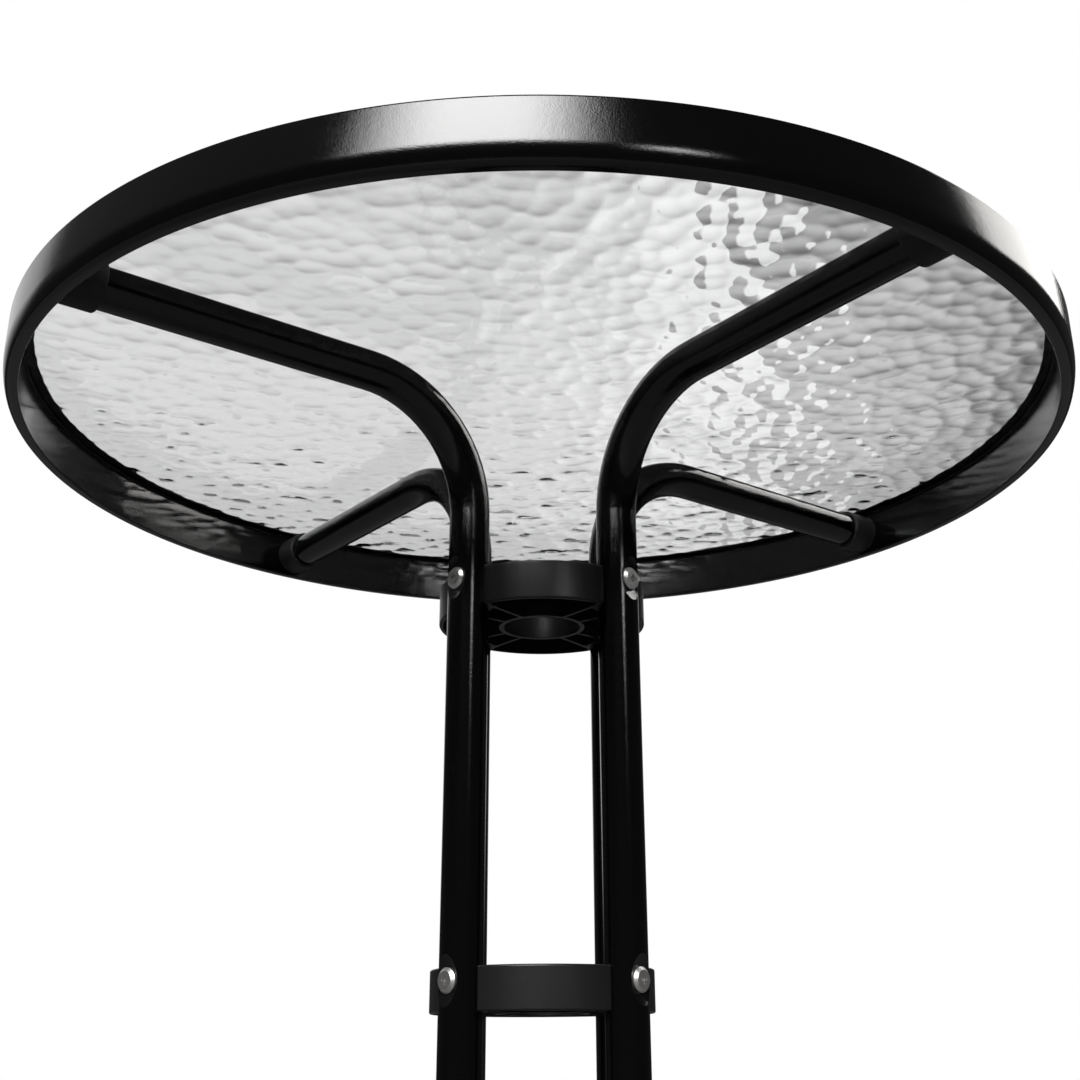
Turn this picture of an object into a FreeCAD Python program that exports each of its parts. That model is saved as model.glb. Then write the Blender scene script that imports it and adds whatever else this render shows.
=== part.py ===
import FreeCAD, Part
import math
import os

# Garden table with a rippled glass top: a steel rim, four bent tube legs that meet
# the rim at its inner wall, and two ribbed collars that clamp the legs round a
# central bore. The origin is on the floor under the middle of the top, Z is up.

Vector = FreeCAD.Vector

# Overall size
table_height = 700.0
rim_radius = 301.2

# Steel rim: a flat hollow section rolled to a ring, with a seat for the glass. Its lower
# outer corner is a wide nose, and its inner wall leans inwards on the way down.
rim_height = 32.0
rim_thickness = 7.2
rim_sheet = 1.2
rim_top_rounding = 1.5
rim_nose_height = 11.0
rim_nose_width = 5.0
rim_nose_corner = 3.5
rim_lean = 1.4
rim_inner_rounding = 0.9
rim_lip = 2.6
rim_seat_depth = 3.0

# Glass pane and the black edging that wraps its edge
glass_thickness = 4.0
glass_seam = 0.4
glass_gap = 0.2
edging_leg = 0.6
edging_web = 1.0
edging_overlap = 8.8
edging_lip = 0.8
edging_rounding = 1.5
edging_gap = 0.3

# Leg tubes. The top is turned a little on the posts, as the photo shows, so each arm runs
# from its post to a socket that stands this much clockwise of it.
leg_count = 4
first_leg_angle = 45.0
top_turn = 7.4
tube_radius = 11.0
tube_wall = 1.2
leg_axis_radius = 57.0
upper_bend_radius = 68.0
lower_bend_radius = 90.0
lower_bend_angle = 50.0
foot_reach = 178.0

# Pressed dents that seat the bolt heads on the tubes
dent_depth = 3.0
dent_blend_radius = 26.0
dent_seat_margin = 0.35

# Sockets that hold the tube ends on the rim
socket_length = 19.4
socket_wall = 2.0
socket_floor = 3.0
socket_rounding = 1.2
socket_drop = 0.2
tube_fit = 0.15

# Screws that hold the sockets on the rim
screw_radius = 2.0
screw_length = 9.0
screw_head_radius = 4.5
screw_head_height = 2.6
screw_hole_gap = 0.2

# Collars
collar_radius = 57.6
collar_height = 21.0
collar_wall = 2.2
collar_plate = 2.4
collar_rounding = 1.0
upper_collar_drop = 116.5
collar_spacing = 203.3
bore_radius = 21.5
bore_wall = 2.6
rib_thickness = 1.8
rib_spread = 12.8
rib_splay_angle = 7.5
rib_boss_radius = 2.3
rib_boss_angle = 42.0
seat_fit = 0.15

# Bolts and nuts
bolt_drop = 7.0
bolt_radius = 3.0
bolt_hole_gap = 0.2
bolt_head_radius = 6.0
bolt_head_height = 3.2
bolt_head_chamfer = 1.5
bolt_end_past_nut = 1.0
cross_length = 4.4
cross_width = 1.0
cross_depth = 1.6
nut_flats = 10.0
nut_height = 5.0
nut_bore_gap = 0.1
nut_pocket_gap = 0.15
nut_block_wall = 2.2

# Feet
foot_cap_wall = 2.2
foot_cap_sleeve = 24.0
foot_ball_height = 8.0
foot_cap_floor = 2.0

# How far cutting tools run past the faces they cut
overrun = 1.0

# Places that follow from the sizes above
edging_radius = rim_radius - rim_lip - edging_gap
glass_radius = edging_radius - edging_web - glass_gap
rim_bore_radius = rim_radius - rim_thickness
edging_height = glass_thickness + 2 * edging_leg
rim_seat_z = table_height - edging_height
rim_top_z = rim_seat_z + rim_seat_depth
rim_bottom_z = rim_top_z - rim_height
socket_radius = tube_radius + tube_fit + socket_wall
arm_z = rim_seat_z - socket_drop - socket_radius
rim_wall_slope = rim_lean / (rim_seat_z - rim_bottom_z)
socket_place_radius = rim_bore_radius - rim_wall_slope * (rim_seat_z - arm_z)
upper_collar_top_z = rim_top_z - upper_collar_drop
lower_collar_top_z = upper_collar_top_z - collar_spacing
seat_radius = tube_radius + seat_fit
foot_cap_radius = tube_radius + tube_fit + foot_cap_wall
bolt_seat_radius = leg_axis_radius + tube_radius - dent_depth
seat_wall_face = leg_axis_radius - seat_radius - collar_wall
nut_face_radius = seat_wall_face - nut_height
bolt_end_radius = nut_face_radius - bolt_end_past_nut
leg_angles = [first_leg_angle + 360.0 / leg_count * i for i in range(leg_count)]
leg_names = ["back_right", "back_left", "front_left", "front_right"]
socket_x = socket_place_radius * math.cos(math.radians(top_turn))
socket_y = -socket_place_radius * math.sin(math.radians(top_turn))
arm_turn = math.degrees(math.atan2(socket_y, socket_x - leg_axis_radius))
arm_wall_x = leg_axis_radius + math.hypot(socket_x - leg_axis_radius, socket_y)
foot_x = leg_axis_radius + foot_reach

UP = Vector(0, 0, 1)
OUT = Vector(1, 0, 0)
ORIGIN = Vector(0, 0, 0)


def radial(radius, z):
    """A point in the plane of the first leg, before it is turned into place."""
    return Vector(radius, 0, z)


def line(a, b):
    return Part.LineSegment(a, b).toShape()


def arc(a, middle, b):
    return Part.Arc(a, middle, b).toShape()


def turned(shape, angle):
    """A copy turned about the table's axis."""
    copy = shape.copy()
    copy.rotate(ORIGIN, UP, angle)
    return copy


def along_arm(shape):
    """A copy turned about the post's axis, from the post's radial plane to its arm's."""
    copy = shape.copy()
    copy.rotate(radial(leg_axis_radius, 0), UP, arm_turn)
    return copy


def ring(edges):
    """Revolve a closed half section about the table's axis."""
    face = Part.Face(Part.Wire(edges))
    return face.revolve(ORIGIN, UP, 360)


def outward_cylinder(radius, start, length, z):
    """A cylinder along the leg's outward direction."""
    return Part.makeCylinder(radius, length, radial(start, z), OUT)


def corner_arc(centre, radius, angle_from, angle_to):
    """An arc of a section's rounded corner, angles in degrees from outward."""
    points = []
    for angle in (angle_from, (angle_from + angle_to) / 2, angle_to):
        a = math.radians(angle)
        points.append(radial(centre.x + radius * math.cos(a), centre.z + radius * math.sin(a)))
    return arc(*points)


def nose_edges(outer, bottom, width, height, corner):
    """The rim's lower outer corner: a wide arc off the wall, then a tight one to the bottom."""
    wide = (width ** 2 + height ** 2 - 2 * height * corner) / (2 * (width - corner))
    wide_centre = radial(outer - wide, bottom + height)
    tight_centre = radial(outer - width, bottom + corner)
    rise = math.degrees(math.atan2(tight_centre.z - wide_centre.z, tight_centre.x - wide_centre.x))
    return [
        corner_arc(wide_centre, wide, 0, rise),
        corner_arc(tight_centre, corner, rise, -90),
    ]


def wall_radius(z):
    """Radius of the rim's leaning inner wall at a height."""
    return rim_bore_radius - rim_wall_slope * (rim_seat_z - z)


def rim_section(inset):
    """Edges of the rim's section: the outside with no inset, its hollow with the sheet's."""
    outer = rim_radius - inset
    bottom = rim_bottom_z + inset
    width = rim_nose_width - inset
    height = rim_nose_height - inset
    edges = nose_edges(outer, bottom, width, height, rim_nose_corner - inset)
    nose_start = radial(outer, bottom + height)
    nose_end = radial(outer - width, bottom)
    if inset:
        shoulder = rim_seat_z - inset
        inner_top = radial(wall_radius(shoulder) + inset, shoulder)
        inner_low = radial(wall_radius(bottom) + inset, bottom)
        edges.append(line(nose_end, inner_low))
        edges.append(line(inner_low, inner_top))
        edges.append(line(inner_top, radial(outer, shoulder)))
        edges.append(line(radial(outer, shoulder), nose_start))
        return edges
    rounding = rim_inner_rounding
    low_corner = radial(wall_radius(bottom + rounding) + rounding, bottom + rounding)
    edges.append(line(nose_end, radial(low_corner.x, bottom)))
    edges.append(corner_arc(low_corner, rounding, 270, 180))
    edges.append(line(radial(low_corner.x - rounding, low_corner.z), radial(rim_bore_radius, rim_seat_z)))
    rounding = rim_top_rounding
    seat_corner = outer - rim_lip
    edges.append(line(radial(rim_bore_radius, rim_seat_z), radial(seat_corner, rim_seat_z)))
    edges.append(line(radial(seat_corner, rim_seat_z), radial(seat_corner, rim_top_z)))
    edges.append(line(radial(seat_corner, rim_top_z), radial(outer - rounding, rim_top_z)))
    edges.append(corner_arc(radial(outer - rounding, rim_top_z - rounding), rounding, 90, 0))
    edges.append(line(radial(outer, rim_top_z - rounding), nose_start))
    return edges


def make_rim():
    """Hollow rolled section with a screw hole in its inner wall for each socket."""
    rim = ring(rim_section(0)).cut(ring(rim_section(rim_sheet)))
    hole_radius = screw_radius + screw_hole_gap
    hole = outward_cylinder(hole_radius, arm_wall_x - overrun, rim_sheet + 2 * overrun, arm_z)
    for angle in leg_angles:
        rim = rim.cut(turned(along_arm(hole), angle))
    return rim


def make_glass():
    """Round pane with its two edges seamed."""
    low = rim_seat_z + edging_leg
    pane = Part.makeCylinder(glass_radius, glass_thickness, Vector(0, 0, low))
    edges = [e for e in pane.Edges if isinstance(e.Curve, Part.Circle)]
    return pane.makeChamfer(glass_seam, edges)


def make_edging():
    """Strip of U section round the pane: its lower leg lies on the rim's seat."""
    low = rim_seat_z
    high = table_height
    lip_rounding = edging_leg / 2
    inner_low = rim_bore_radius - edging_lip + lip_rounding
    inner_high = glass_radius - edging_overlap
    groove = edging_radius - edging_web
    rounding = edging_rounding
    return ring([
        line(radial(inner_low, low), radial(edging_radius, low)),
        line(radial(edging_radius, low), radial(edging_radius, high - rounding)),
        corner_arc(radial(edging_radius - rounding, high - rounding), rounding, 0, 90),
        line(radial(edging_radius - rounding, high), radial(inner_high, high)),
        line(radial(inner_high, high), radial(inner_high, high - edging_leg)),
        line(radial(inner_high, high - edging_leg), radial(groove, high - edging_leg)),
        line(radial(groove, high - edging_leg), radial(groove, low + edging_leg)),
        line(radial(groove, low + edging_leg), radial(inner_low, low + edging_leg)),
        corner_arc(radial(inner_low, low + lip_rounding), lip_rounding, 90, 270),
    ])


def foot_direction():
    """Direction of the leg's lowest straight run, outward and down."""
    a = math.radians(lower_bend_angle)
    return Vector(math.sin(a), 0, -math.cos(a))


def foot_centre():
    """Middle of the ball that ends a foot cap."""
    return radial(foot_x, foot_ball_height)


def leg_path(extra):
    """Centre line of a leg from the rim to the foot, longer at both ends by extra."""
    arm_end = radial(arm_wall_x - socket_floor + extra, arm_z)
    bend = upper_bend_radius
    bend_centre = radial(leg_axis_radius + bend, arm_z - bend)
    half = math.radians(45)
    bend_start = radial(bend_centre.x, arm_z)
    bend_end = radial(leg_axis_radius, bend_centre.z)
    bend_middle = radial(bend_centre.x - bend * math.cos(half), bend_centre.z + bend * math.sin(half))
    a = math.radians(lower_bend_angle)
    low = lower_bend_radius
    direction = foot_direction()
    low_end_x = leg_axis_radius + low * (1 - math.cos(a))
    run = (foot_x - low_end_x) / math.sin(a)
    low_end = foot_centre() - direction * run
    low_start = radial(leg_axis_radius, low_end.z + low * math.sin(a))
    low_middle = radial(leg_axis_radius + low * (1 - math.cos(a / 2)), low_start.z - low * math.sin(a / 2))
    tip = foot_centre() - direction * (foot_cap_floor - extra)
    return Part.Wire([
        line(arm_end, bend_start),
        arc(bend_start, bend_middle, bend_end),
        line(bend_end, low_start),
        arc(low_start, low_middle, low_end),
        line(low_end, tip),
    ])


def swept_tube(radius, extra):
    """A round bar along the leg's centre line."""
    path = leg_path(extra)
    start = path.Vertexes[0].Point
    disc = Part.Face(Part.Wire(Part.makeCircle(radius, start, OUT)))
    return path.makePipe(disc)


def dent(depth, seat_radius_at_bolt, blend_radius, z):
    """The press tool of a bolt's dent: a flat seat in the middle of a shallow bowl."""
    face = leg_axis_radius + tube_radius - depth
    bowl = Part.makeSphere(blend_radius, radial(face + blend_radius, z))
    seat = outward_cylinder(seat_radius_at_bolt, face, 2 * tube_radius, z)
    return bowl.fuse(seat)


def bolt_heights():
    return [upper_collar_top_z - bolt_drop, lower_collar_top_z - bolt_drop]


def make_leg():
    """Bent tube with two pressed dents on its outer side, each drilled for a bolt."""
    outside = along_arm(swept_tube(tube_radius, 0))
    hollow = along_arm(swept_tube(tube_radius - tube_wall, overrun))
    seat = bolt_head_radius + dent_seat_margin
    for z in bolt_heights():
        outside = outside.cut(dent(dent_depth, seat, dent_blend_radius, z))
        hollow = hollow.cut(dent(dent_depth + tube_wall, seat + tube_wall, dent_blend_radius + tube_wall, z))
    leg = outside.cut(hollow)
    for z in bolt_heights():
        start = leg_axis_radius - tube_radius - overrun
        hole = outward_cylinder(bolt_radius + bolt_hole_gap, start, 2 * (tube_radius + overrun), z)
        leg = leg.cut(hole)
    return leg


def inside_rim():
    """The space inside the rim's inner wall."""
    low = arm_z - 2 * socket_radius
    height = 4 * socket_radius
    return Part.makeCone(wall_radius(low), wall_radius(low + height), height, Vector(0, 0, low))


def make_socket():
    """Moulded cup that stands on the rim's inner wall and takes the tube's end."""
    mouth_x = arm_wall_x - socket_length
    cup = outward_cylinder(socket_radius, mouth_x, socket_length + socket_floor, arm_z)
    circles = [e for e in cup.Edges if isinstance(e.Curve, Part.Circle)]
    cup = cup.makeFillet(socket_rounding, [e for e in circles if e.Curve.Center.x < arm_wall_x])
    bore_length = socket_length - socket_floor
    cup = cup.cut(outward_cylinder(tube_radius + tube_fit, mouth_x, bore_length, arm_z))
    cup = cup.cut(outward_cylinder(screw_radius + screw_hole_gap, mouth_x, 2 * socket_length, arm_z))
    return along_arm(cup).common(inside_rim())


def make_socket_screw():
    """Round headed screw through the cup's floor into the rim's inner sheet."""
    head_back = arm_wall_x - socket_floor
    head_front = head_back - screw_head_height
    head = outward_cylinder(screw_head_radius, head_front, screw_head_height, arm_z)
    circles = [e for e in head.Edges if isinstance(e.Curve, Part.Circle)]
    head = head.makeFillet(screw_head_height / 2, [e for e in circles if e.Curve.Center.x < head_back])
    shank = outward_cylinder(screw_radius, head_front + screw_head_height / 2, screw_length, arm_z)
    return along_arm(head.fuse(shank))


def splayed_rib(side, height, z):
    """One of the two ribs that run from the bore's tube to a leg's seat."""
    start = bore_radius + bore_wall / 2
    corner = Vector(0, -rib_thickness / 2, z)
    rib = Part.makeBox(leg_axis_radius, rib_thickness, height, corner)
    rib.rotate(Vector(0, 0, z), UP, side * rib_splay_angle)
    rib.translate(Vector(start, side * rib_spread / 2, 0))
    return rib


def rib_boss(side, height, z):
    """Round boss in the seat's wall where a rib meets it."""
    a = math.radians(rib_boss_angle)
    reach = seat_radius + collar_wall
    x = leg_axis_radius - reach * math.cos(a)
    y = side * reach * math.sin(a)
    return Part.makeCylinder(rib_boss_radius, height, Vector(x, y, z))


def hexagon_bar(flats, start, length, z):
    """A six sided bar along the leg's outward direction."""
    corner = flats / math.sqrt(3)
    points = []
    for i in range(7):
        a = math.radians(60 * i)
        points.append(Vector(start, corner * math.cos(a), z + corner * math.sin(a)))
    return Part.Face(Part.makePolygon(points)).extrude(OUT * length)


def nut_block(plate_bottom, bolt_z):
    """Block behind a leg's seat, moulded on the plate, that holds the nut's pocket."""
    half = nut_flats / math.sqrt(3) + nut_block_wall
    bottom = bolt_z - half
    depth = seat_wall_face - nut_face_radius + collar_wall
    corner = Vector(nut_face_radius, -half, bottom)
    return Part.makeBox(depth, 2 * half, plate_bottom - bottom, corner)


def seat_cylinder(radius, low):
    """A cylinder round a post's axis, a little taller than the collar."""
    return Part.makeCylinder(radius, collar_height + 2 * overrun, Vector(leg_axis_radius, 0, low - overrun))


def make_collar(top_z):
    """Moulded collar, open below: outer wall with leg seats, bore tube, ribs and nut pockets."""
    low = top_z - collar_height
    plate_bottom = top_z - collar_plate
    bolt_z = top_z - bolt_drop
    inside_height = collar_height - collar_plate
    body = Part.makeCylinder(collar_radius, collar_height, Vector(0, 0, low))
    body = body.makeFillet(collar_rounding, [e for e in body.Edges if isinstance(e.Curve, Part.Circle)])
    hollow = Part.makeCylinder(collar_radius - collar_wall, inside_height, Vector(0, 0, low))
    tube = Part.makeCylinder(bore_radius + bore_wall, inside_height, Vector(0, 0, low))
    hollow = hollow.cut(tube)
    for angle in leg_angles:
        kept = seat_cylinder(seat_radius + collar_wall, low)
        for side in (-1, 1):
            kept = kept.fuse(splayed_rib(side, inside_height, low))
            kept = kept.fuse(rib_boss(side, inside_height, low))
        kept = kept.fuse(nut_block(plate_bottom, bolt_z))
        hollow = hollow.cut(turned(kept, angle))
    body = body.cut(hollow)
    for angle in leg_angles:
        cuts = seat_cylinder(seat_radius, low)
        pocket_start = nut_face_radius - overrun
        cuts = cuts.fuse(outward_cylinder(bolt_radius + bolt_hole_gap, pocket_start, collar_radius, bolt_z))
        pocket = hexagon_bar(nut_flats + 2 * nut_pocket_gap, pocket_start, nut_height + overrun, bolt_z)
        body = body.cut(turned(cuts.fuse(pocket), angle))
    bore = Part.makeCylinder(bore_radius, collar_height + 2 * overrun, Vector(0, 0, low - overrun))
    return body.cut(bore)


def make_bolt(z):
    """Bolt with a chamfered round head and a cross recess, its head in the tube's dent."""
    face = bolt_seat_radius + bolt_head_height
    rim_start = face - bolt_head_chamfer
    half_section = Part.makePolygon([
        Vector(bolt_end_radius, 0, z),
        Vector(bolt_end_radius, 0, z + bolt_radius),
        Vector(bolt_seat_radius, 0, z + bolt_radius),
        Vector(bolt_seat_radius, 0, z + bolt_head_radius),
        Vector(rim_start, 0, z + bolt_head_radius),
        Vector(face, 0, z + bolt_head_radius - bolt_head_chamfer),
        Vector(face, 0, z),
        Vector(bolt_end_radius, 0, z),
    ])
    bolt = Part.Face(half_section).revolve(radial(0, z), OUT, 360)
    for width, height in ((cross_length, cross_width), (cross_width, cross_length)):
        corner = Vector(face - cross_depth, -width / 2, z - height / 2)
        bolt = bolt.cut(Part.makeBox(2 * cross_depth, width, height, corner))
    return bolt


def make_nut(z):
    """Hexagon nut in the collar's pocket."""
    nut = hexagon_bar(nut_flats, nut_face_radius, nut_height, z)
    bore_start = nut_face_radius - overrun
    return nut.cut(outward_cylinder(bolt_radius + nut_bore_gap, bore_start, nut_height + 2 * overrun, z))


def make_foot_cap():
    """Moulded cap on the leg's lower end: a sleeve with a ball end, flat on the floor."""
    centre = foot_centre()
    direction = foot_direction()
    sleeve = Part.makeCylinder(foot_cap_radius, foot_cap_sleeve, centre, direction * -1)
    cap = sleeve.fuse(Part.makeSphere(foot_cap_radius, centre))
    bore_start = centre - direction * foot_cap_floor
    cap = cap.cut(Part.makeCylinder(tube_radius + tube_fit, 2 * foot_cap_sleeve, bore_start, direction * -1))
    size = 4 * foot_cap_radius
    below_floor = Part.makeBox(size, size, size, Vector(centre.x - size / 2, -size / 2, -size))
    return along_arm(cap.cut(below_floor))


def save(name, shape):
    """Write one sub-part and print what it measures."""
    solids = len(shape.Solids)
    print("%-26s solids %d  valid %s  %.2f cm3" % (name, solids, shape.isValid(), shape.Volume / 1000))
    shape.exportStep("parts/" + name + ".step")


os.makedirs("parts", exist_ok=True)
save("rim", make_rim())
save("glass_pane", make_glass())
save("glass_edging", make_edging())
save("upper_collar", make_collar(upper_collar_top_z))
save("lower_collar", make_collar(lower_collar_top_z))
upper_bolt_z, lower_bolt_z = bolt_heights()
one_of_each = {
    "leg": make_leg(),
    "rim_socket": make_socket(),
    "socket_screw": make_socket_screw(),
    "foot_cap": make_foot_cap(),
    "upper_bolt": make_bolt(upper_bolt_z),
    "lower_bolt": make_bolt(lower_bolt_z),
    "upper_nut": make_nut(upper_bolt_z),
    "lower_nut": make_nut(lower_bolt_z),
}
for kind, shape in one_of_each.items():
    for leg_name, leg_angle in zip(leg_names, leg_angles):
        save(kind + "_" + leg_name, turned(shape, leg_angle))
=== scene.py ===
import math
import bpy
from mathutils import Matrix, Vector


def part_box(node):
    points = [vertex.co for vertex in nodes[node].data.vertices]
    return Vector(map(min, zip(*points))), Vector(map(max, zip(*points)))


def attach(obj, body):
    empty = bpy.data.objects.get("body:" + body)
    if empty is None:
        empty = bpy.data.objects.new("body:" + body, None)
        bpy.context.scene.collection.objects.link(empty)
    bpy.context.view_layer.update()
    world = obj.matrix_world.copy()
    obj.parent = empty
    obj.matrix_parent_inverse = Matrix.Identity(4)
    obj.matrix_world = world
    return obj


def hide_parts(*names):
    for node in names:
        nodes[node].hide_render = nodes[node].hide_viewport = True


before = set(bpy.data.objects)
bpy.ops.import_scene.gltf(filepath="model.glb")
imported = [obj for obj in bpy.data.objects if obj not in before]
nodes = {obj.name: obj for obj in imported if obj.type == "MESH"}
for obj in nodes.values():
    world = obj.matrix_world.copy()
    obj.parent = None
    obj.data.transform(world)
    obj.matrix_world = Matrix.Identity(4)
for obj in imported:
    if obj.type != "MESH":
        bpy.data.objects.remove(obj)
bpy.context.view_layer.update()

# Rim: a hollow steel section rolled to a ring, with a seat for the pane, powder coated satin
# black. The cured powder has a fine grain and a slower orange peel. The ring is spun here in
# finer steps than the solid's, whose facets would show on its long bright edge.
rim_low, rim_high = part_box("rim")
rim_radius = 0.3012
rim_thickness = 0.0072
rim_lean = 0.0014
rim_seat_depth = 0.003
rim_lip = 0.0026
top_rounding = 0.0015
inner_rounding = 0.0009
nose_height = 0.011
nose_width = 0.005
nose_corner = 0.0035
arc_steps = 8
ring_steps = 288
same_place = 0.00001
smooth_angle = math.radians(30)
powder_colour = (0.0015, 0.0015, 0.0016, 1)


def add_node(tree, kind, inputs=None, **settings):
    """Add a node to a tree, set its options, and set or link its inputs."""
    node = tree.nodes.new(kind)
    for name, value in settings.items():
        setattr(node, name, value)
    for name, value in (inputs or {}).items():
        if isinstance(value, bpy.types.NodeSocket):
            tree.links.new(value, node.inputs[name])
        else:
            node.inputs[name].default_value = value
    return node


def maths(tree, operation, *values):
    """Add a Math node that works on these numbers or sockets, and give its result."""
    return add_node(tree, "ShaderNodeMath", dict(enumerate(values)), operation=operation).outputs[0]


def start_group(name, inputs, outputs):
    """Start a node group that several finishes share."""
    tree = bpy.data.node_groups.new(name, "ShaderNodeTree")
    for label, start in inputs.items():
        socket = tree.interface.new_socket(label, in_out="INPUT", socket_type="NodeSocketFloat")
        socket.default_value = start
    for label, kind in outputs.items():
        tree.interface.new_socket(label, in_out="OUTPUT", socket_type="NodeSocket" + kind)
    return tree, add_node(tree, "NodeGroupInput"), add_node(tree, "NodeGroupOutput")


def build_grain():
    """Two sizes of bump one on the other, and a roughness that varies with the finer one."""
    inputs = {"Fine size": 0.0005, "Fine depth": 0.00002, "Slow size": 0.004, "Slow depth": 0.00003,
              "Gloss": 0.4, "Gloss spread": 0.1}
    tree, given, result = start_group("surface_grain", inputs, {"Roughness": "Float", "Normal": "Vector"})
    place = add_node(tree, "ShaderNodeTexCoord").outputs["Object"]
    middle = 0.5
    normal = None
    for size in ("Slow", "Fine"):
        scale = maths(tree, "DIVIDE", 1.0, given.outputs[size + " size"])
        noise = add_node(tree, "ShaderNodeTexNoise", {"Vector": place, "Scale": scale, "Detail": 2.0})
        height = noise.outputs["Fac"]
        depth = given.outputs[size + " depth"]
        bump = add_node(tree, "ShaderNodeBump", {"Height": height, "Distance": depth})
        if normal:
            tree.links.new(normal, bump.inputs["Normal"])
        normal = bump.outputs["Normal"]
    shift = maths(tree, "SUBTRACT", height, middle)
    spread = maths(tree, "MULTIPLY", shift, given.outputs["Gloss spread"])
    tree.links.new(maths(tree, "ADD", spread, given.outputs["Gloss"]), result.inputs["Roughness"])
    tree.links.new(normal, result.inputs["Normal"])
    return tree


surface_grain = build_grain()


def new_finish(name, values):
    """A material whose plain values are set on its shader's own sockets."""
    material = bpy.data.materials.new(name)
    material.use_nodes = True
    shader = material.node_tree.nodes["Principled BSDF"]
    for socket, value in values.items():
        shader.inputs[socket].default_value = value
    return material


def add_grain(material, **values):
    """Give a finish the grain, with its own sizes, depths and gloss."""
    tree = material.node_tree
    shader = tree.nodes["Principled BSDF"]
    grain = add_node(tree, "ShaderNodeGroup", node_tree=surface_grain)
    for label, value in values.items():
        grain.inputs[label.replace("_", " ").capitalize()].default_value = value
    tree.links.new(grain.outputs["Roughness"], shader.inputs["Roughness"])
    tree.links.new(grain.outputs["Normal"], shader.inputs["Normal"])


def arc(x, z, radius, start, end):
    """Points of a rounded corner in a section, with its angles in degrees from outward."""
    angles = [math.radians(start + (end - start) * step / arc_steps) for step in range(arc_steps + 1)]
    return [(x + radius * math.cos(angle), z + radius * math.sin(angle)) for angle in angles]


def rim_section():
    """The rim's outline: nose, inner wall, seat for the pane, lip and rounded top."""
    bottom = rim_low.z
    seat = rim_high.z - rim_seat_depth
    bore = rim_radius - rim_thickness
    foot = bore - rim_lean

    # The nose's side is a wide arc, upright at its top, that runs on into the corner's small arc
    narrowing = nose_width - nose_corner
    side_radius = (nose_width ** 2 + nose_height ** 2 - 2 * nose_height * nose_corner) / (2 * narrowing)
    side_end = math.degrees(math.atan2(nose_corner - nose_height, side_radius - nose_width))

    points = arc(rim_radius - side_radius, bottom + nose_height, side_radius, 0, side_end)
    points += arc(rim_radius - nose_width, bottom + nose_corner, nose_corner, side_end, -90)[1:]
    points += arc(foot + inner_rounding, bottom + inner_rounding, inner_rounding, -90, -180)
    points += [(bore, seat), (rim_radius - rim_lip, seat), (rim_radius - rim_lip, rim_high.z)]
    points += arc(rim_radius - top_rounding, rim_high.z - top_rounding, top_rounding, 90, 0)
    return points


def spun_ring(name, points):
    """A ring spun round the table's middle from the points of a closed section."""
    sides = [(corner, (corner + 1) % len(points)) for corner in range(len(points))]
    mesh = bpy.data.meshes.new(name)
    mesh.from_pydata([(x, 0, z) for x, z in points], sides, [])
    piece = bpy.data.objects.new(name, mesh)
    bpy.context.collection.objects.link(piece)
    bpy.ops.object.select_all(action="DESELECT")
    bpy.context.view_layer.objects.active = piece
    piece.select_set(True)
    bpy.ops.object.mode_set(mode="EDIT")
    bpy.ops.mesh.select_all(action="SELECT")
    bpy.ops.mesh.spin(steps=ring_steps, angle=2 * math.pi, center=(0, 0, 0), axis=(0, 0, 1))
    bpy.ops.mesh.select_all(action="SELECT")
    bpy.ops.mesh.remove_doubles(threshold=same_place)
    bpy.ops.mesh.normals_make_consistent(inside=False)
    bpy.ops.object.mode_set(mode="OBJECT")
    bpy.ops.object.shade_smooth_by_angle(angle=smooth_angle)
    return piece


powder_coat = new_finish("powder_coat_black", {"Base Color": powder_colour, "IOR": 1.55})
add_grain(powder_coat, fine_size=0.0007, fine_depth=0.00004, slow_size=0.004, slow_depth=0.00003,
          gloss=0.11, gloss_spread=0.08)
rim = spun_ring("rolled_rim", rim_section())
rim.data.materials.append(powder_coat)
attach(rim, "root")
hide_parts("rim")

# Pane: toughened glass, flat and smooth on top and rippled below, where rolled glass
# takes the pattern of its roller: low cobbles about a centimetre across with narrow
# valleys between them. It lies in its edging on the rim's seat.
pane_low, pane_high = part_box("glass_pane")
pane_radius = pane_high.x
pane_sides = 256
pane_seam = 0.0004
sheet_margin = 1.01
sheet_cells = 345
cobble_size = 0.0122
cobble_height = 0.00122
swell_size = 0.02
swell_height = 0.0003
fleck_size = 0.005
fleck_height = 0.00008
ripple_relief = 0.0009
over_pane = 2 * pane_high.z


def press_pattern(piece, name, kind, size, height, **settings):
    """Press a pattern into a flat sheet along Z and keep the result in its mesh."""
    pattern = bpy.data.textures.new(name, kind)
    pattern.noise_scale = size
    for setting, value in settings.items():
        setattr(pattern, setting, value)
    press = piece.modifiers.new(name, "DISPLACE")
    press.texture = pattern
    press.direction = "Z"
    press.texture_coords = "LOCAL"
    press.mid_level = 0
    press.strength = height
    bpy.ops.object.modifier_apply(modifier=name)


# The pane's outline: a disc with a ground seam round its top edge, reaching far below it
bpy.ops.object.select_all(action="DESELECT")
bpy.ops.mesh.primitive_cylinder_add(vertices=pane_sides, radius=pane_radius, depth=2 * pane_high.z)
outline = bpy.context.object
bevel = outline.modifiers.new("seam", "BEVEL")
bevel.width = pane_seam
bevel.segments = 1
bpy.ops.object.modifier_apply(modifier="seam")

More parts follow.
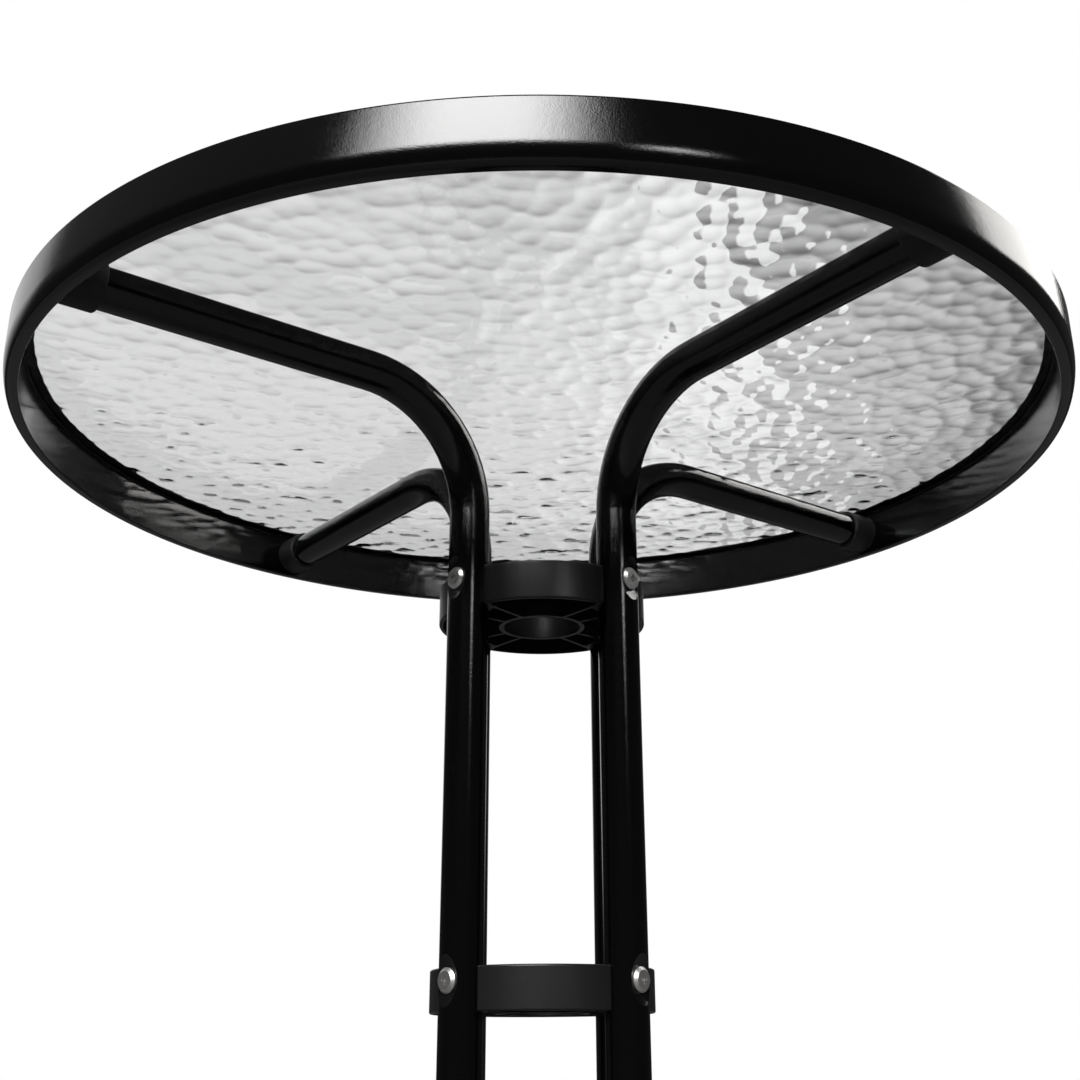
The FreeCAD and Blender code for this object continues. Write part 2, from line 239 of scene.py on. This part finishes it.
# The rippled sheet, whose crests stay within the relief over the pane's lower face
bpy.ops.mesh.primitive_grid_add(x_subdivisions=sheet_cells, y_subdivisions=sheet_cells,
                                size=2 * sheet_margin * pane_radius)
pane = bpy.context.object
pane.name = "rippled_pane"
press_pattern(pane, "cobbles", "VORONOI", cobble_size, cobble_height, distance_metric="DISTANCE_SQUARED")
press_pattern(pane, "swell", "CLOUDS", swell_size, swell_height)
press_pattern(pane, "flecks", "CLOUDS", fleck_size, fleck_height)
rounding = pane.modifiers.new("rounding", "SMOOTH")
rounding.factor = 0.5
rounding.iterations = 1
bpy.ops.object.modifier_apply(modifier="rounding")
lowest = min(vertex.co.z for vertex in pane.data.vertices)
for vertex in pane.data.vertices:
    vertex.co.z = pane_low.z + min(vertex.co.z - lowest, ripple_relief)

# The sheet's border is drawn up to a flat face over the pane, and the outline cuts the block
bpy.ops.object.mode_set(mode="EDIT")
bpy.ops.mesh.select_mode(type="EDGE")
bpy.ops.mesh.select_all(action="DESELECT")
bpy.ops.mesh.select_non_manifold()
bpy.ops.mesh.extrude_edges_move()
bpy.ops.transform.resize(value=(1, 1, 0), center_override=(0, 0, over_pane))
bpy.ops.mesh.edge_face_add()
bpy.ops.mesh.select_all(action="SELECT")
bpy.ops.mesh.normals_make_consistent(inside=False)
bpy.ops.object.mode_set(mode="OBJECT")
cut = pane.modifiers.new("outline", "BOOLEAN")
cut.operation = "INTERSECT"
cut.solver = "MANIFOLD"
cut.object = outline
bpy.ops.object.modifier_apply(modifier="outline")
bpy.data.objects.remove(outline)
bpy.ops.object.shade_smooth_by_angle(angle=smooth_angle)

rippled_glass = new_finish("rippled_glass", {"Base Color": (0.97, 0.975, 0.975, 1), "IOR": 1.5,
                                             "Roughness": 0.0, "Transmission Weight": 1.0})
pane.data.materials.clear()
pane.data.materials.append(rippled_glass)
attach(pane, "root")
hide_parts("glass_pane")

# Edging: a soft black strip of U section, pushed on round the pane before it goes in. Its
# lower leg lies on the rim's seat and looks out inside the rim as a narrow lip.
edging_black = new_finish("edging_black", {"Base Color": (0.012, 0.012, 0.013, 1)})
add_grain(edging_black, fine_size=0.0008, fine_depth=0.00001, slow_size=0.01, slow_depth=0.00004,
          gloss=0.3, gloss_spread=0.12)


def coat(material, *names):
    """Put a finish on the solids of these names."""
    for name in names:
        nodes[name].data.materials.clear()
        nodes[name].data.materials.append(material)


coat(edging_black, "glass_edging")

# Legs: four steel tubes, each bent twice, from the rim to the floor. They have the rim's
# powder coat. Where a bolt goes through, a flat seat is pressed into the tube.
leg_names = ["back_right", "back_left", "front_left", "front_right"]
coat(powder_coat, *["leg_" + name for name in leg_names])

# Rim sockets: cups of matte dark plastic on the rim's inner wall. A tube's end goes into
# each, and a screw through the cup's floor holds it on the rim.
socket_grey = new_finish("socket_grey", {"Base Color": (0.014, 0.014, 0.014, 1)})
add_grain(socket_grey, fine_size=0.0006, fine_depth=0.00002, slow_size=0.008, slow_depth=0.00003,
          gloss=0.62, gloss_spread=0.1)
coat(socket_grey, *["rim_socket_" + name for name in leg_names])

# Collars: two mouldings of black plastic, open below, that clamp the legs round the bore.
# The moulded faces are smoother than the powder coat, with faint sinks and flow marks.
collar_black = new_finish("collar_black", {"Base Color": (0.010, 0.010, 0.011, 1)})
add_grain(collar_black, fine_size=0.0011, fine_depth=0.000006, slow_size=0.012, slow_depth=0.00004,
          gloss=0.34, gloss_spread=0.12)
coat(collar_black, "upper_collar", "lower_collar")

# Bolts, nuts and screws: steel, bright zinc plated. Each bolt goes from the dent in a
# tube through the collar's wall to a nut in its pocket.
bright_zinc = new_finish("bright_zinc", {"Base Color": (0.82, 0.81, 0.79, 1), "Metallic": 1.0})
add_grain(bright_zinc, fine_size=0.0004, fine_depth=0.000008, slow_size=0.002, slow_depth=0.00002,
          gloss=0.4, gloss_spread=0.3)
for kind in ("upper_bolt_", "lower_bolt_", "upper_nut_", "lower_nut_", "socket_screw_"):
    coat(bright_zinc, *[kind + name for name in leg_names])

# Foot caps: ball ended caps of matte black plastic, pushed on the lower ends of the legs.
cap_black = new_finish("cap_black", {"Base Color": (0.018, 0.018, 0.018, 1)})
add_grain(cap_black, fine_size=0.0007, fine_depth=0.00002, slow_size=0.006, slow_depth=0.00003,
          gloss=0.6, gloss_spread=0.12)
coat(cap_black, *["foot_cap_" + name for name in leg_names])

# Floor: one plain pale sheet under the table. It is pale to the camera and through the
# pane, and darker to gloss and to scattered light, which keeps the black paint black.
floor_size = 6
pale_to_camera = (0.78, 0.78, 0.77, 1)
dim_to_gloss = (0.12, 0.12, 0.12, 1)

# The Mix node's colour sockets share their names with others, so they go by their places
mix_factor = 0
mix_first = 6
mix_second = 7
mix_result = 2

bpy.ops.object.select_all(action="DESELECT")
bpy.ops.mesh.primitive_plane_add(size=floor_size)
floor = bpy.context.object
floor.name = "floor"
floor_pale = new_finish("floor_pale", {"Roughness": 0.8})
tree = floor_pale.node_tree
path = add_node(tree, "ShaderNodeLightPath")
looked_at = maths(tree, "MAXIMUM", path.outputs["Is Camera Ray"], path.outputs["Is Transmission Ray"])
shade = add_node(tree, "ShaderNodeMix", {mix_factor: looked_at, mix_first: dim_to_gloss,
                                         mix_second: pale_to_camera}, data_type="RGBA")
tree.links.new(shade.outputs[mix_result], tree.nodes["Principled BSDF"].inputs["Base Color"])
floor.data.materials.append(floor_pale)

# Studio: what the camera sees behind the table is white. Glass and gloss see a darker
# room with pale panels in it. Each panel is a window in azimuth, from +Y towards +X, and
# in elevation. Each of its edges has a place and a softness, in degrees.
room_level = 0.035
backdrop_level = 1.0
azimuth_low = -140
azimuth_high = 220
panels = {
    "wall ahead": {"left": (-28, 6), "right": (11, 0.5), "low": (7, 4), "high": (41, 18), "level": 0.78},
    "strip ahead": {"left": (4.5, 4.5), "right": (11, 0.5), "low": (18, 6), "high": (46, 14), "level": 0.24},
    "right wall": {"left": (11, 0.5), "right": (23, 9), "low": (7, 4), "high": (34, 13), "level": 0.60},
    "left wall": {"left": (-56, 5), "right": (-28, 6), "low": (20, 8), "high": (48, 14), "level": 0.80},
    "far left": {"left": (-134, 6), "right": (-56, 5), "low": (20, 5), "high": (60, 8), "level": 0.06},
    "front": {"left": (175.5, 10), "right": (213, 13), "low": (26, 5), "high": (50, 3), "level": 16.5},
    "glint": {"left": (151, 3), "right": (161, 3), "low": (17, 2), "high": (24, 2), "level": 9},
}

world = bpy.data.worlds.new("Studio")
world.use_nodes = True
bpy.context.scene.world = world
tree = world.node_tree
background = tree.nodes["Background"]
background.inputs["Color"].default_value = (1, 1, 1, 1)
sky = add_node(tree, "ShaderNodeTexCoord").outputs["Generated"]
direction = add_node(tree, "ShaderNodeSeparateXYZ", {"Vector": sky})
around = maths(tree, "DEGREES", maths(tree, "ARCTAN2", direction.outputs["X"], direction.outputs["Y"]))
azimuth = maths(tree, "WRAP", around, azimuth_high, azimuth_low)
elevation = maths(tree, "DEGREES", maths(tree, "ARCSINE", direction.outputs["Z"]))


def past_edge(angle, edge, before, after):
    """A value that goes softly from one level to another where an angle passes an edge."""
    place, softness = edge
    return add_node(tree, "ShaderNodeMapRange", {"Value": angle, "From Min": place - softness,
                    "From Max": place + softness, "To Min": before, "To Max": after},
                    interpolation_type="SMOOTHSTEP").outputs[0]


level = room_level
for panel in panels.values():
    share = panel["level"]
    for angle, start, end in ((azimuth, "left", "right"), (elevation, "low", "high")):
        share = maths(tree, "MULTIPLY", past_edge(angle, panel[start], 0.0, 1.0), share)
        share = maths(tree, "MULTIPLY", past_edge(angle, panel[end], 1.0, 0.0), share)
    level = maths(tree, "ADD", level, share)
seen = add_node(tree, "ShaderNodeLightPath").outputs["Is Camera Ray"]
shown = add_node(tree, "ShaderNodeMix", {"Factor": seen, "A": level, "B": backdrop_level}, data_type="FLOAT")
tree.links.new(shown.outputs["Result"], background.inputs["Strength"])

# Side lamp: a soft box high up at the right, behind the table. The rim's right end shows
# it, and its light through the ripple mottles the rim's inner wall at the left.
lamp_place = Vector((1.415, 0.485, 1.74))
lamp_target = Vector((0.2, -0.2, 0.68))
lamp_data = bpy.data.lights.new("side_lamp", "AREA")
lamp_data.shape = "RECTANGLE"
lamp_data.size = 1.04
lamp_data.size_y = 0.72
lamp_data.energy = 9.7
lamp_data.color = (1, 0.985, 0.96)
lamp = bpy.data.objects.new("side_lamp", lamp_data)
bpy.context.collection.objects.link(lamp)
lamp_turn = (lamp_target - lamp_place).to_track_quat("-Z", "Y")
lamp.matrix_world = Matrix.Translation(lamp_place) @ lamp_turn.to_matrix().to_4x4()

# Camera: low in front of the table, looking up under the top. The photograph is a crop,
# so its optical axis isn't in the middle of the frame and the lens is shifted.
camera_place = Vector((-0.01504, -0.7791, rim_high.z - 0.36272))
camera_pitch = 0.394
camera_yaw = -0.0306
camera_roll = -0.0061
camera_data = bpy.data.cameras.new("Camera")
camera_data.lens = 47.685
camera_data.sensor_width = 36
camera_data.shift_x = -0.01516
camera_data.shift_y = -0.0686
camera = bpy.data.objects.new("Camera", camera_data)
bpy.context.collection.objects.link(camera)
looking = Matrix.Rotation(camera_yaw, 4, "Z") @ Matrix.Rotation(math.radians(90) + camera_pitch, 4, "X")
camera.matrix_world = Matrix.Translation(camera_place) @ looking @ Matrix.Rotation(camera_roll, 4, "Z")
bpy.context.scene.camera = camera
bpy.context.scene.view_settings.view_transform = "Standard"
